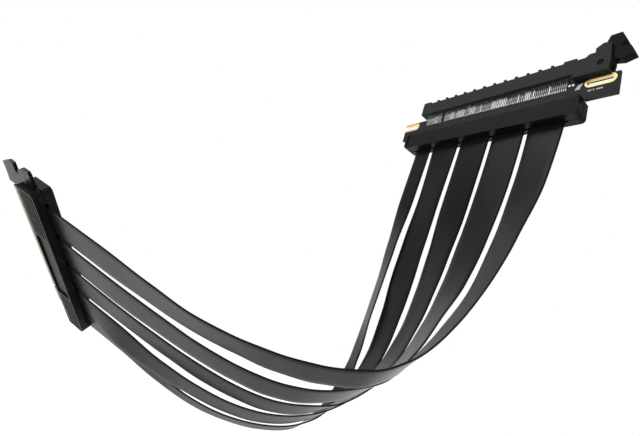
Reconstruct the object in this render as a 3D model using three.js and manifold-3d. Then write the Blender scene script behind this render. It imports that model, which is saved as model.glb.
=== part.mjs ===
// A riser cable for a graphics card: a card slot on a small board, five flat ribbons, and a card edge plug.
// Units are millimetres. X runs along the contact row towards the latch, Y to the back, Z up to the mouth.
// The origin is the middle of the slot end's back cover, on its back face.

import * as THREE from 'three';
import { mergeVertices } from 'three/addons/utils/BufferGeometryUtils.js';
import Module from 'manifold-3d';

// Contact row, shared by the slot and the card edge
const contactPitch = 1.0;
const keyStep = 3.0;
const contactsBeforeKey = 11;
const contactsAfterKey = 71;
const contactWidth = 0.5;
const rowLength = (contactsBeforeKey - 1) * contactPitch + keyStep + (contactsAfterKey - 1) * contactPitch;
const keyMiddle = (contactsBeforeKey - 1) * contactPitch + keyStep / 2;

// Clearances, and how far a cut runs past the face it leaves
const fitGap = 0.3;
const cutOver = 1;

// Slot board, measured from the first contact, the latch tower's end and its own top edge
const boardThickness = 1.6;
const slotBoardTop = 0;
const keyEndOverhang = 17.8;
const latchEndOverhang = 3.7;
const earHeight = 12;
const tongueInset = 2.4;
const tongueReach = 5.6;

// Screw slots in the ears of the slot board
const screwSlotLength = 12.4;
const screwSlotHeight = 4.0;
const screwSlotDrop = 2.9;
const screwSlotEdge = 1.7;
const platingWidth = 0.6;
const platingProud = 0.12;
const platingWall = 0.35;
const barrelGap = 0.1;

// Slot housing
const slotDepth = 7.5;
const slotHeight = 11.4;
const slotLift = 2.5;
const slotEndWall = 4.3;
const mouthWidth = 1.9;
const mouthFloor = 1.3;
const mouthChamfer = 0.8;
const mouthMargin = 1.7;
const keyRib = 1.5;
const rimNotchPitch = 6.3;
const rimNotchLength = 4.9;
const rimNotchDepth = 1.2;
const rimNotchHeight = 1.5;
const rimNotchStart = 0.6;
const endRidge = 1.2;
const endRidgeInset = 1;
const endRidgeRise = 1.4;

// Contact tails that hold the housing to the board
const tailThickness = 0.25;
const tailReach = 4.2;
const tailRoot = 0.2;

// Latch tower
const towerRoom = 4;
const towerLength = 15.2;
const towerHeight = 15.4;
const towerCheek = 1.3;
const towerFloor = 1.3;
const towerFootCut = 0.8;
const towerBackBulge = 1.3;
const towerHeadLean = 0.6;
const towerHeadLength = 3.9;
const towerHeadDrop = 1.4;
const saddleLength = 2.6;
const saddleRise = 0.3;
const saddleSlope = 1.6;
const saddleDrop = 1.2;

// Latch, its outline measured across and up from its pivot
const pivotInset = 4.2;
const pivotHeight = 5.2;
const pivotRadius = 1.2;
const pocketInset = 2.8;
const roundSides = 20;
const latchOutline = [
  [-1.7, -1.8], [1.6, -1.8], [4.8, 1.2], [8.4, 0.2], [13.3, 1.6], [11.2, 6.4], [6.6, 8.2],
  [9.4, 10.3], [7, 15.6], [2.2, 15.5], [0.8, 12], [1.5, 8.3], [-0.8, 3.8], [-1.7, 1.4],
];

// Ribbons
const ribbonThickness = 0.8;
const ribbonGap = 1.4;
const ribbonCount = 5;
const narrowPitch = 12.6;
const widePitch = 19.45;
const ribbonRowStart = -5;
const slotRibbonPlane = 0.5;
const ribbonSteps = 42;

// Ground bars, soldered to the boards beside the ribbon joints
const groundBarHeight = 1.6;
const groundBarThickness = 0.6;
const groundBarRise = 0.8;
const groundBarInset = 1;

// Covers over the ribbon joints, their overhang measured from the outer ribbons
const coverWall = 1.4;
const coverCorner = 2;
const slotCoverOverhang = [5.75, 6.35];
const slotCoverHeight = 9.6;
const slotCoverHalfDepth = 5;
const slotCoverDrop = 11.4;
const lipHeight = 1.3;
const panelSink = 0.5;
const plugCoverOverhang = [2.75, 7.15];
const plugCoverHeight = 12.8;
const plugCoverHalfDepth = 4.7;
const plugCoverBottom = 0.7;

// Grip of the plug's front cover
const ribPitch = 1.9;
const ribWidth = 0.9;
const ribDepth = 0.6;
const ribZone = 29;
const gripMargin = 1.2;
const plugPanelSink = 0.8;

// Card edge plug, its hook's outline measured from the hook's inner side and the tip of the card edge
const plugRowStart = -42.8;
const edgeReach = 13.2;
const edgeMargin = 1.4;
const edgeChamfer = 0.5;
const fingerProud = 0.05;
const fingerWidth = 0.7;
const fingerLength = 5;
const fingerInset = 0.6;
const plugBoardRise = 3.8;
const notchDepth = 8.2;
const hookGap = 1.2;
const hookShoulder = 5.5;
const hookRoot = 1;
const hookOutline = [
  [0, 2.2], [5.8, 1.5], [11.3, 1.5], [14.5, -4.8], [14.3, -8], [10.1, -8.1], [9.3, -9.9],
  [12.2, -11], [14.7, -15], [14.9, -19.8],
];
const hookToe = 2;

// Place of the plug from the slot end's first contact, and its turn in degrees
const plugAside = 85.5;
const plugForward = 136.2;
const plugDrop = 153.4;
const plugTurn = [71.84, -32.89, -43.92];

// Spans of the ribbons, the covers and the card edge
const ribbonSpan = [ribbonRowStart, ribbonRowStart + narrowPitch + (ribbonCount - 1) * widePitch];
const slotCoverSpan = [ribbonSpan[0] - slotCoverOverhang[0], ribbonSpan[1] + slotCoverOverhang[1]];
const slotCoverTop = slotBoardTop - slotCoverDrop;
const slotCover = {
  x: slotCoverSpan,
  z: [slotCoverTop - slotCoverHeight, slotCoverTop],
  halfDepth: slotCoverHalfDepth,
  board: [slotCoverSpan[0] + tongueInset, slotCoverSpan[1] - tongueInset],
  ribbons: ribbonSpan,
  ribbonPlane: slotRibbonPlane,
};
const plugRibbonSpan = ribbonSpan.map((x) => x + plugRowStart);
const plugCoverSpan = [plugRibbonSpan[0] - plugCoverOverhang[0], plugRibbonSpan[1] + plugCoverOverhang[1]];
const cardEdge = [plugRowStart - edgeMargin, plugRowStart + rowLength + edgeMargin];
const plugCover = {
  x: plugCoverSpan,
  z: [plugCoverBottom, plugCoverBottom + plugCoverHeight],
  halfDepth: plugCoverHalfDepth,
  board: [cardEdge[0], plugCoverSpan[1]],
  ribbons: plugRibbonSpan,
  ribbonPlane: 0,
};
const plugBoardBottom = plugCoverBottom + plugBoardRise;

// The origin in the slot end's frame: the middle of the back cover's outer face
const frameOrigin = [
  (slotCover.x[0] + slotCover.x[1]) / 2,
  slotCover.halfDepth,
  (slotCover.z[0] + slotCover.z[1]) / 2,
];

const wasm = await Module();
wasm.setup();

function material(color, roughness, metalness = 0) {
  return new THREE.MeshStandardMaterial({ color, roughness, metalness });
}

const blackPlastic = material(0x1b1c1e, 0.55);
const slotPlastic = material(0x141618, 0.5);
const blackBoard = material(0x15131a, 0.4);
const goldPlate = material(0xc9a45c, 0.3, 1);
const ribbonSkin = material(0x1f1f1e, 0.6);
const copperBar = material(0xb87752, 0.35, 1);

function toSolid(geometry) {
  const bare = geometry.clone();
  bare.deleteAttribute('normal');
  bare.deleteAttribute('uv');
  const merged = mergeVertices(bare, 1e-5);
  const vertProperties = new Float32Array(merged.attributes.position.array);
  const triVerts = new Uint32Array(merged.index.array);
  return new wasm.Manifold(new wasm.Mesh({ numProp: 3, vertProperties, triVerts }));
}

function toGeometry(solid) {
  const mesh = solid.getMesh();
  const geometry = new THREE.BufferGeometry();
  geometry.setAttribute('position', new THREE.BufferAttribute(new Float32Array(mesh.vertProperties), 3));
  geometry.setIndex(new THREE.BufferAttribute(new Uint32Array(mesh.triVerts), 1));
  geometry.computeVertexNormals();
  return geometry;
}

function block([x0, x1], [y0, y1], [z0, z1]) {
  const geometry = new THREE.BoxGeometry(x1 - x0, y1 - y0, z1 - z0);
  geometry.translate((x0 + x1) / 2, (y0 + y1) / 2, (z0 + z1) / 2);
  return toSolid(geometry);
}

// A plate with its outline in X and Z and its thickness along Y
function plate(shape, [y0, y1], curveSegments = 8) {
  const geometry = new THREE.ExtrudeGeometry(shape, { depth: y1 - y0, bevelEnabled: false, curveSegments });
  geometry.rotateX(Math.PI / 2);
  geometry.translate(0, y1, 0);
  return toSolid(geometry);
}

// A bar with its outline in Y and Z, run along X
function bar(shape, [x0, x1]) {
  const geometry = new THREE.ExtrudeGeometry(shape, { depth: x1 - x0, bevelEnabled: false });
  geometry.rotateY(Math.PI / 2);
  geometry.rotateX(Math.PI / 2);
  geometry.translate(x0, 0, 0);
  return toSolid(geometry);
}

function outline(points) {
  return new THREE.Shape(points.map(([a, b]) => new THREE.Vector2(a, b)));
}

// A rectangle with its two lower corners rounded
function coverShape([x0, x1], [z0, z1], radius) {
  const shape = new THREE.Shape();
  shape.moveTo(x0, z1);
  shape.lineTo(x0, z0 + radius);
  shape.absarc(x0 + radius, z0 + radius, radius, Math.PI, Math.PI * 1.5, false);
  shape.lineTo(x1 - radius, z0);
  shape.absarc(x1 - radius, z0 + radius, radius, Math.PI * 1.5, Math.PI * 2, false);
  shape.lineTo(x1, z1);
  return shape;
}

// A slot with round ends, its length measured over the ends
function roundSlot([x0, x1], middle, height) {
  const radius = height / 2;
  const shape = new THREE.Shape();
  shape.moveTo(x0 + radius, middle - radius);
  shape.lineTo(x1 - radius, middle - radius);
  shape.absarc(x1 - radius, middle, radius, -Math.PI / 2, Math.PI / 2, false);
  shape.lineTo(x0 + radius, middle + radius);
  shape.absarc(x0 + radius, middle, radius, Math.PI / 2, Math.PI * 1.5, false);
  return shape;
}

function addMesh(group, name, geometry, look) {
  const mesh = new THREE.Mesh(geometry, look);
  mesh.name = name;
  group.add(mesh);
}

// Distance of each contact from the first one
function contactPlaces() {
  const places = [];
  for (let i = 0; i < contactsBeforeKey; i += 1) places.push(i * contactPitch);
  const next = (contactsBeforeKey - 1) * contactPitch + keyStep;
  for (let i = 0; i < contactsAfterKey; i += 1) places.push(next + i * contactPitch);
  return places;
}

// Middle and width of each ribbon along the row
function ribbonPlaces() {
  const places = [];
  let left = ribbonRowStart;
  for (let i = 0; i < ribbonCount; i += 1) {
    const pitch = i === 0 ? narrowPitch : widePitch;
    places.push({ middle: left + pitch / 2, width: pitch - ribbonGap });
    left += pitch;
  }
  return places;
}

const contacts = contactPlaces();
const ribbons = ribbonPlaces();
const halfBoard = boardThickness / 2;
const through = [-boardThickness, boardThickness];

// The slot board: an ear with a closed screw slot at the latch end and one with an open slot at the other
const towerStart = rowLength + towerRoom;
const towerEnd = towerStart + towerLength;
const slotBoardSpan = [-keyEndOverhang, towerEnd + latchEndOverhang];
const closedSlot = [slotBoardSpan[1] - screwSlotEdge - screwSlotLength, slotBoardSpan[1] - screwSlotEdge];
const openSlot = [slotBoardSpan[0] - screwSlotHeight, slotBoardSpan[0] + screwSlotLength - screwSlotEdge];
const slotMiddle = slotBoardTop - screwSlotDrop;
const tongueBottom = slotCover.z[1] - tongueReach;
const shoulder = slotCover.z[1] + fitGap;
const earBottom = slotBoardTop - earHeight;

function slotBoard() {
  const [left, right] = slotBoardSpan;
  const [coverLeft, coverRight] = slotCover.x;
  const tongue = slotCover.board;
  const shape = outline([
    [left, slotBoardTop], [left, earBottom], [coverLeft - fitGap, earBottom], [coverLeft - fitGap, shoulder],
    [tongue[0], shoulder], [tongue[0], tongueBottom], [tongue[1], tongueBottom], [tongue[1], shoulder],
    [coverRight + fitGap, shoulder], [coverRight + fitGap, earBottom], [right, earBottom],
    [right, slotBoardTop],
  ]);
  return plate(shape, [-halfBoard, halfBoard])
    .subtract(plate(roundSlot(closedSlot, slotMiddle, screwSlotHeight), through))
    .subtract(plate(roundSlot(openSlot, slotMiddle, screwSlotHeight), through));
}

// A plated lining: a barrel in the screw slot with a thin flange on each face of the board
function plating(span) {
  const grow = (amount) => [span[0] - amount, span[1] + amount];
  const flangeHeight = screwSlotHeight + 2 * platingWidth;
  const face = halfBoard + platingProud;
  const flange = roundSlot(grow(platingWidth), slotMiddle, flangeHeight);
  const barrel = roundSlot(grow(-barrelGap), slotMiddle, screwSlotHeight - 2 * barrelGap);
  const inset = barrelGap + platingWall;
  const hole = roundSlot(grow(-inset), slotMiddle, screwSlotHeight - 2 * inset);
  return plate(flange, [-face, -halfBoard])
    .add(plate(flange, [halfBoard, face]))
    .add(plate(barrel, [-face, face]))
    .subtract(plate(hole, [-2 * face, 2 * face]));
}

function openPlating() {
  const outside = [slotBoardSpan[0] - 2 * screwSlotHeight, slotBoardSpan[0]];
  const edge = block(outside, through, [earBottom, slotBoardTop + cutOver]);
  return plating(openSlot).subtract(edge);
}

// The slot housing: a long bar with a keyed mouth, a stepped rim, a latch tower and two rows of tails
const halfSlot = slotDepth / 2;
const slotBase = slotBoardTop + slotLift;
const slotTop = slotBoardTop + slotHeight;
const towerBase = slotBoardTop + fitGap;
const towerTop = slotBoardTop + towerHeight;
const pivotX = towerEnd - pivotInset;
const pivotZ = slotBoardTop + pivotHeight;

function mouth() {
  const halfMouth = mouthWidth / 2;
  const flare = halfMouth + mouthChamfer;
  const floor = slotBase + mouthFloor;
  const over = slotTop + cutOver;
  const section = outline([
    [-halfMouth, floor], [halfMouth, floor], [halfMouth, slotTop - mouthChamfer], [flare, slotTop],
    [flare, over], [-flare, over], [-flare, slotTop], [-halfMouth, slotTop - mouthChamfer],
  ]);
  const first = bar(section, [-mouthMargin, keyMiddle - keyRib / 2]);
  const second = bar(section, [keyMiddle + keyRib / 2, rowLength + mouthMargin]);
  return first.add(second);
}

function rimNotches() {
  const notches = [];
  const height = [slotTop - rimNotchHeight, slotTop + cutOver];
  for (let x = rimNotchStart; x + rimNotchLength < rowLength; x += rimNotchPitch) {
    const span = [x, x + rimNotchLength];
    notches.push(block(span, [-halfSlot - cutOver, -halfSlot + rimNotchDepth], height));
    notches.push(block(span, [halfSlot - rimNotchDepth, halfSlot + cutOver], height));
  }
  return notches;
}

// The tower's head leans over the pocket that the latch turns in, and a saddle steps down to the rim
function tower() {
  const pocketStart = pivotX - pocketInset;
  const start = towerStart - cutOver;
  const headEnd = towerEnd - towerHeadLean;
  const headStart = headEnd - towerHeadLength + towerHeadLean;
  const saddleStart = pocketStart - saddleLength;
  const shape = outline([
    [start, towerBase], [towerEnd - towerFootCut, towerBase], [towerEnd, pivotZ + towerBackBulge],
    [headEnd, towerTop], [headStart, towerTop + towerHeadLean], [pocketStart, towerTop - towerHeadDrop],
    [pocketStart, slotTop + saddleRise], [saddleStart, slotTop + saddleRise],
    [saddleStart - saddleSlope, slotTop - saddleDrop], [start, slotTop - saddleDrop],
  ]);
  const inner = halfSlot - towerCheek;
  const pocket = block([pocketStart, towerEnd + cutOver], [-inner, inner],
    [towerBase + towerFloor, towerTop + 2 * cutOver]);
  const hole = pin(pivotRadius + fitGap, slotDepth + 2 * cutOver);
  return plate(shape, [-halfSlot, halfSlot]).subtract(pocket).subtract(hole);
}

// A round pin along Y through the latch's pivot
function pin(radius, length) {
  const geometry = new THREE.CylinderGeometry(radius, radius, length, roundSides);
  geometry.translate(pivotX, 0, pivotZ);
  return toSolid(geometry);
}

function tails() {
  const near = halfBoard + fitGap;
  const height = [slotBoardTop - tailReach, slotBase + tailRoot];
  const solids = [];
  for (const x of contacts) {
    const span = [x - contactWidth / 2, x + contactWidth / 2];
    solids.push(block(span, [-near - tailThickness, -near], height));
    solids.push(block(span, [near, near + tailThickness], height));
  }
  return solids;
}

function slotHousing() {
  const left = -slotEndWall;
  const base = block([left, towerStart], [-halfSlot, halfSlot], [slotBase, slotTop]);
  const ridgeHalf = halfSlot - endRidgeInset;
  const ridge = block([left - endRidge, left + cutOver], [-ridgeHalf, ridgeHalf],
    [slotBase + endRidgeRise, slotTop - endRidgeInset]);
  const body = wasm.Manifold.union([base, ridge, tower(), ...tails()]);
  return wasm.Manifold.difference([body, mouth(), ...rimNotches()]);
}

// The latch: a forked lever on two round bosses that snap into the tower's cheeks
function latch() {
  const half = halfSlot - towerCheek - fitGap;
  const shape = outline(latchOutline.map(([across, up]) => [pivotX + across, pivotZ + up]));
  return plate(shape, [-half, half]).add(pin(pivotRadius, slotDepth - 2 * fitGap));
}

// One half of a cover: a shell that is open to its other half, to the board above and to the ribbons below
function coverHalf(cover, side) {
  const [x0, x1] = cover.x;
  const [z0, z1] = cover.z;
  const span = (a, b) => (side < 0 ? [-b, -a] : [a, b]);
  const shell = plate(coverShape(cover.x, cover.z, coverCorner), span(fitGap / 2, cover.halfDepth));
  const cavity = block([x0 + coverWall, x1 - coverWall], span(-cutOver, cover.halfDepth - coverWall),
    [z0 + coverWall, z1 - coverWall]);
  const boardSlot = block([cover.board[0] - fitGap, cover.board[1] + fitGap],
    [-halfBoard - fitGap, halfBoard + fitGap], [z1 - coverWall - cutOver, z1 + cutOver]);
  const slit = ribbonThickness / 2 + fitGap;
  const ribbonSlit = block([cover.ribbons[0] - fitGap, cover.ribbons[1] + fitGap],
    [cover.ribbonPlane - slit, cover.ribbonPlane + slit], [z0 - cutOver, z0 + coverWall + cutOver]);
  return shell.subtract(cavity).subtract(boardSlot).subtract(ribbonSlit);
}

// The front cover of the slot end has a panel that lies behind a lip and two end cheeks
function slotFrontCover() {
  const [x0, x1] = slotCover.x;
  const [z0, z1] = slotCover.z;
  const face = -slotCover.halfDepth;
  const panel = block([x0 + coverWall, x1 - coverWall], [face - cutOver, face + panelSink],
    [z0 + lipHeight, z1 + cutOver]);
  return coverHalf(slotCover, -1).subtract(panel);
}

// The front cover of the plug has a grip of long ribs at both ends and a smooth sunk panel between them
function plugFrontCover() {
  const [x0, x1] = plugCover.x;
  const [z0, z1] = plugCover.z;
  const face = -plugCover.halfDepth;
  const cuts = [block([x0 + ribZone, x1 - ribZone], [face - cutOver, face + plugPanelSink],
    [z0 + gripMargin, z1 - gripMargin])];
  const zones = [[x0 + gripMargin, x0 + ribZone - gripMargin], [x1 - ribZone + gripMargin, x1 - gripMargin]];
  for (let z = z0 + gripMargin; z + ribWidth < z1 - gripMargin; z += ribPitch) {
    const groove = [z, z + ribPitch - ribWidth];
    for (const zone of zones) cuts.push(block(zone, [face - cutOver, face + ribDepth], groove));
  }
  const half = coverHalf(plugCover, -1).subtract(hookPassage());
  return wasm.Manifold.difference([half, ...cuts]);
}

function plugBackCover() {
  return coverHalf(plugCover, 1).subtract(hookPassage());
}

// The way out for the hook, through the covers' end wall
const hookFoot = plugCover.z[0] + hookShoulder;

function hookPassage() {
  const [, x1] = plugCover.x;
  return block([x1 - coverWall - cutOver, x1 + cutOver], [-halfBoard - fitGap, halfBoard + fitGap],
    [hookFoot - fitGap, plugCover.z[1] + cutOver]);
}

// The plug board: a card edge with its key notch and the forked hook that a slot's latch holds
function plugBoard() {
  const bottom = plugBoardBottom;
  const [x0, x1] = cardEdge;
  const top = plugCover.z[1] + edgeReach;
  const notchBottom = top - notchDepth;
  const key = plugRowStart + keyMiddle;
  const notch = [key - mouthWidth / 2, key + mouthWidth / 2];
  const hookLeft = x1 + hookGap;
  const hookRight = hookLeft + hookOutline[hookOutline.length - 1][0];
  const shape = outline([
    [x0, bottom], [x0, top - edgeChamfer], [x0 + edgeChamfer, top], [notch[0], top], [notch[0], notchBottom],
    [notch[1], notchBottom], [notch[1], top], [x1 - edgeChamfer, top], [x1, top - edgeChamfer],
    [x1, notchBottom], [hookLeft, notchBottom],
    ...hookOutline.map(([across, up]) => [hookLeft + across, top + up]),
    [hookRight - hookToe, hookFoot], [hookLeft + hookRoot, hookFoot], [hookLeft + hookRoot, bottom],
  ]);
  const proud = [-halfBoard - fingerProud, halfBoard + fingerProud];
  const reach = [top - fingerInset - fingerLength, top - fingerInset];
  const fingers = contacts.map((x) => {
    const middle = plugRowStart + x;
    return block([middle - fingerWidth / 2, middle + fingerWidth / 2], proud, reach);
  });
  return wasm.Manifold.union([plate(shape, [-halfBoard, halfBoard]), ...fingers]);
}

// A copper bar that ties a ribbon's screens to the board, beside the joint
function groundBar(middle, width, boardEnd) {
  const half = width / 2 - groundBarInset;
  const face = -halfBoard - fitGap;
  const low = boardEnd + groundBarRise;
  return block([middle - half, middle + half], [face - groundBarThickness, face],
    [low, low + groundBarHeight]);
}

// The roll at a fraction of the way through the stations, eased from each station to the next
function rollAt(stations, t) {
  const place = t * (stations.length - 1);
  const i = Math.min(Math.floor(place), stations.length - 2);
  const ease = THREE.MathUtils.smoothstep(place - i, 0, 1);
  return THREE.MathUtils.lerp(stations[i][3], stations[i + 1][3], ease);
}

// A flat ribbon along its stations, where each station is X, Y, Z and a roll in degrees.
// Its width turns evenly from the slot end's row to the plug's row, and the roll is added to that.
function ribbonGeometry(stations, width, plugAxis) {
  const centre = new THREE.CatmullRomCurve3(stations.map(([x, y, z]) => new THREE.Vector3(x, y, z)));
  const start = new THREE.Vector3(1, 0, 0);
  const half = [width / 2, ribbonThickness / 2];
  const corners = [[-half[0], -half[1]], [half[0], -half[1]], [half[0], half[1]], [-half[0], half[1]]];
  const vertices = [];
  for (let i = 0; i <= ribbonSteps; i += 1) {
    const t = i / ribbonSteps;
    const point = centre.getPoint(t);
    const tangent = centre.getTangent(t);
    const across = start.clone().lerp(plugAxis, t).projectOnPlane(tangent).normalize();
    across.applyAxisAngle(tangent, THREE.MathUtils.degToRad(rollAt(stations, t)));
    const face = new THREE.Vector3().crossVectors(tangent, across);
    for (const [a, b] of corners) {
      vertices.push(...point.clone().addScaledVector(across, a).addScaledVector(face, b).toArray());
    }
  }
  const count = corners.length;
  const triangles = [];
  for (let i = 0; i < ribbonSteps; i += 1) {
    for (let j = 0; j < count; j += 1) {
      const [a, b] = [i * count + j, i * count + ((j + 1) % count)];
      if (j < 2) triangles.push(a, b, b + count, a, b + count, a + count);
      else triangles.push(a, b, a + count, b, b + count, a + count);
    }
  }
  const last = ribbonSteps * count;
  triangles.push(0, 2, 1, 0, 3, 2, last, last + 1, last + 2, last, last + 2, last + 3);
  const geometry = new THREE.BufferGeometry();
  geometry.setAttribute('position', new THREE.Float32BufferAttribute(vertices, 3));
  geometry.setIndex(triangles);
  geometry.computeVertexNormals();
  return geometry;
}

// The ribbons' routes between the two covers, chosen by hand from the hang of the cable
const routes = [
  [
    [-3.5, 2.6, -53.4, -1],
    [-10, 6.7, -80.2, 13],
    [-15.4, 10.8, -101.9, 18],
    [-20.7, 14.1, -123.8, 17],
    [-25.7, 17.1, -148.9, 4],
    [-29.6, 15.8, -171, -18],
    [-32.5, 8, -185.8, -12],
    [-36, -3.3, -195.9, 4],
    [-44, -20, -201.1, 1],
    [-54.9, -39.4, -201.9, -2],
    [-65.8, -57.2, -198.8, 0],
    [-78.9, -76, -191.6, 6],
    [-93.9, -95.2, -183.3, -1],
  ],
  [
    [12.6, 3.2, -54.3, 5],
    [5.8, 7.5, -81.7, 0],
    [0.6, 11.3, -102, -4],
    [-3.9, 14.6, -121.5, -1],
    [-8.4, 15.6, -143.8, -1],
    [-12.7, 11.6, -164.9, -8],
    [-17.4, 1.5, -180.5, 3],
    [-24.5, -13.4, -190.1, 4],
    [-33.3, -29.9, -194.5, 3],
    [-43, -46.5, -194.5, 1],
    [-53.2, -63.2, -191.4, 1],
    [-64.2, -80.5, -186.4, 5],
    [-78.9, -100.2, -178.2, 11],
  ],
  [
    [31.4, 3.1, -60.1, 0],
    [24.7, 7.7, -86.9, 8],
    [19.6, 10.4, -106.6, 10],
    [14.5, 11.3, -126.6, 10],
    [9.1, 8.5, -146.7, 5],
    [3.6, 1.4, -163.8, 1],
    [-2.4, -9.5, -175.8, -1],
    [-10.1, -23.8, -183, 5],
    [-18.6, -38.4, -185.6, 3],
    [-27.8, -53.1, -184.5, 1],
    [-37.8, -68.9, -181.1, 1],
    [-48.4, -84.9, -176, -1],
    [-63.8, -106.7, -167.9, -2],
  ],
  [
    [53.9, -0.1, -53.5, -1],
    [50.5, -1.7, -82.6, 2],
    [47.5, -4.6, -105.7, 6],
    [44.6, -10.3, -125.9, 13],
    [41.7, -17.5, -144.5, 12],
    [37.7, -26.7, -158.8, 5],
    [31.6, -38.3, -167.4, 8],
    [23.6, -51, -172.7, 6],
    [13.6, -63.8, -174.3, 3],
    [1.8, -76.7, -172.8, 0],
    [-11.9, -90.1, -169.3, -1],
    [-27.4, -104.1, -164.1, 0],
    [-48, -121.6, -156.9, 1],
  ],
  [
    [73.9, -2.1, -53.6, 5],
    [71.2, -8.3, -84.6, 15],
    [68.5, -16, -110.2, 19],
    [65.1, -25.4, -129.9, 16],
    [62.2, -33.1, -142.3, 14],
    [59.4, -40.1, -150.9, 16],
    [53.9, -49.5, -158, 12],
    [42.9, -63.3, -162.2, 5],
    [30.1, -77.1, -163.1, 0],
    [17.1, -89.7, -161.7, -5],
    [2.8, -102.6, -158.8, -6],
    [-13.7, -116, -153.5, -3],
    [-35.7, -133.2, -145.9, 1],
  ],
];

const riser = new THREE.Group();
const slotEnd = new THREE.Group();
slotEnd.position.set(-frameOrigin[0], -frameOrigin[1], -frameOrigin[2]);
riser.add(slotEnd);

const plugEnd = new THREE.Group();
plugEnd.position.set(-plugAside, -plugForward, slotBoardTop - plugDrop);
plugEnd.rotation.set(...plugTurn.map(THREE.MathUtils.degToRad), 'ZYX');
plugEnd.updateMatrix();
slotEnd.add(plugEnd);

addMesh(slotEnd, 'slot_board', toGeometry(slotBoard()), blackBoard);
addMesh(slotEnd, 'closed_slot_plating', toGeometry(plating(closedSlot)), goldPlate);
addMesh(slotEnd, 'open_slot_plating', toGeometry(openPlating()), goldPlate);
addMesh(slotEnd, 'slot_housing', toGeometry(slotHousing()), slotPlastic);
addMesh(slotEnd, 'latch', toGeometry(latch()), slotPlastic);
addMesh(slotEnd, 'slot_front_cover', toGeometry(slotFrontCover()), blackPlastic);
addMesh(slotEnd, 'slot_back_cover', toGeometry(coverHalf(slotCover, 1)), blackPlastic);
addMesh(plugEnd, 'plug_board', toGeometry(plugBoard()), blackBoard);
addMesh(plugEnd, 'plug_front_cover', toGeometry(plugFrontCover()), blackPlastic);
addMesh(plugEnd, 'plug_back_cover', toGeometry(plugBackCover()), blackPlastic);

const plugAxis = new THREE.Vector3(1, 0, 0).applyQuaternion(plugEnd.quaternion);
ribbons.forEach(({ middle, width }, i) => {
  const plugMiddle = middle + plugRowStart;
  const atPlug = (z) => [...new THREE.Vector3(plugMiddle, 0, z).applyMatrix4(plugEnd.matrix).toArray(), 0];
  const atSlot = (z) => [middle, slotRibbonPlane, z, 0];
  const stations = [atSlot(tongueBottom - fitGap), atSlot(slotCover.z[0] - fitGap), ...routes[i],
    atPlug(plugCover.z[0] - fitGap), atPlug(plugBoardBottom - fitGap)];
  const slotBar = groundBar(middle, width, tongueBottom);
  const plugBar = groundBar(plugMiddle, width, plugBoardBottom);
  addMesh(slotEnd, `ribbon_${i + 1}`, ribbonGeometry(stations, width, plugAxis), ribbonSkin);
  addMesh(slotEnd, `slot_ground_bar_${i + 1}`, toGeometry(slotBar), copperBar);
  addMesh(plugEnd, `plug_ground_bar_${i + 1}`, toGeometry(plugBar), copperBar);
});

export default riser;
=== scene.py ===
# %% [markdown]
# A riser cable for a graphics card. One end is a card slot on a small board, the other end is a card edge
# plug, and five flat ribbons join them. The rigid pieces come ready made in the frame, at their real size.
# This lesson dresses them: it lays the ribbons, rounds the edges of the mouldings, adds the solder and the
# spring contacts, and gives every surface its finish. All lengths are in metres, and X runs along the row of
# contacts towards the latch, Y to the back and Z out of the slot's mouth.

# %% Load the frame
import math

import bmesh
import bpy
import numpy as np
from mathutils import Euler, Matrix, Vector


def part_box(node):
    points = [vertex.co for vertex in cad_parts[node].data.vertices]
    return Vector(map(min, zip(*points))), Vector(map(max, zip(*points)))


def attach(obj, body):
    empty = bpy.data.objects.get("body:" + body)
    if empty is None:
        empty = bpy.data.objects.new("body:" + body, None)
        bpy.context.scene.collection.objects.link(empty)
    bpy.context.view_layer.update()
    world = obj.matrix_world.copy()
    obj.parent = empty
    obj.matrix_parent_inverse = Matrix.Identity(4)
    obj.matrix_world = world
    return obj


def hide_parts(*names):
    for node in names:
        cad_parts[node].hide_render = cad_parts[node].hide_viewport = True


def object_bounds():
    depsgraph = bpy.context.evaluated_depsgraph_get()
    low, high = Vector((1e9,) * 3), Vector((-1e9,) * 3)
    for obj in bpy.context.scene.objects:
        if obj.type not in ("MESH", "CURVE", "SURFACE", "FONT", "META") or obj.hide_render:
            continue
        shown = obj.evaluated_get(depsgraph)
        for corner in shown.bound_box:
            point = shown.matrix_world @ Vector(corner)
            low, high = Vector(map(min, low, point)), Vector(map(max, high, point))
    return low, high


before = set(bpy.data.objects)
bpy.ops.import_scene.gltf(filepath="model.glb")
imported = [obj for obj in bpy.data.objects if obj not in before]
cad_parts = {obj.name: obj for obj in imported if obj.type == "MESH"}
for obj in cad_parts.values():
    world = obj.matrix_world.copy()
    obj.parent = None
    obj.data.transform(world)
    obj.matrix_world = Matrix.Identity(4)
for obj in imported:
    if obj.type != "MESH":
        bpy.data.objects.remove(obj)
cad_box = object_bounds()
MM = 0.001
CORNERS = ((-1, -1), (1, -1), (1, 1), (-1, 1))
BODY = "riser"
LATCH_BODY = "latch_lever"


def mesh_from(made, name):
    """A mesh of what a bmesh holds, which is freed."""
    mesh = bpy.data.meshes.new(name)
    made.to_mesh(mesh)
    made.free()
    return mesh


def show(name, mesh):
    """A new object in the scene with this mesh."""
    piece = bpy.data.objects.new(name, mesh)
    bpy.context.scene.collection.objects.link(piece)
    return piece


def smooth(mesh, sharp_angle=math.pi):
    """Smooth shading, with edges sharper than the angle kept."""
    mesh.polygons.foreach_set("use_smooth", [True] * len(mesh.polygons))
    if sharp_angle < math.pi:
        mesh.set_sharp_from_angle(angle=sharp_angle)


print("pieces in the frame:", len(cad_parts))

# %% [markdown]
# The camera stands below the slot end and looks up past it, as in the photo, so it needs no shift. Its place
# was found from the two rows of contacts, whose real spacing is known: only one place and one lens make both
# rows fall where the picture has them. A lens is given for a sensor 36 mm wide.

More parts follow.
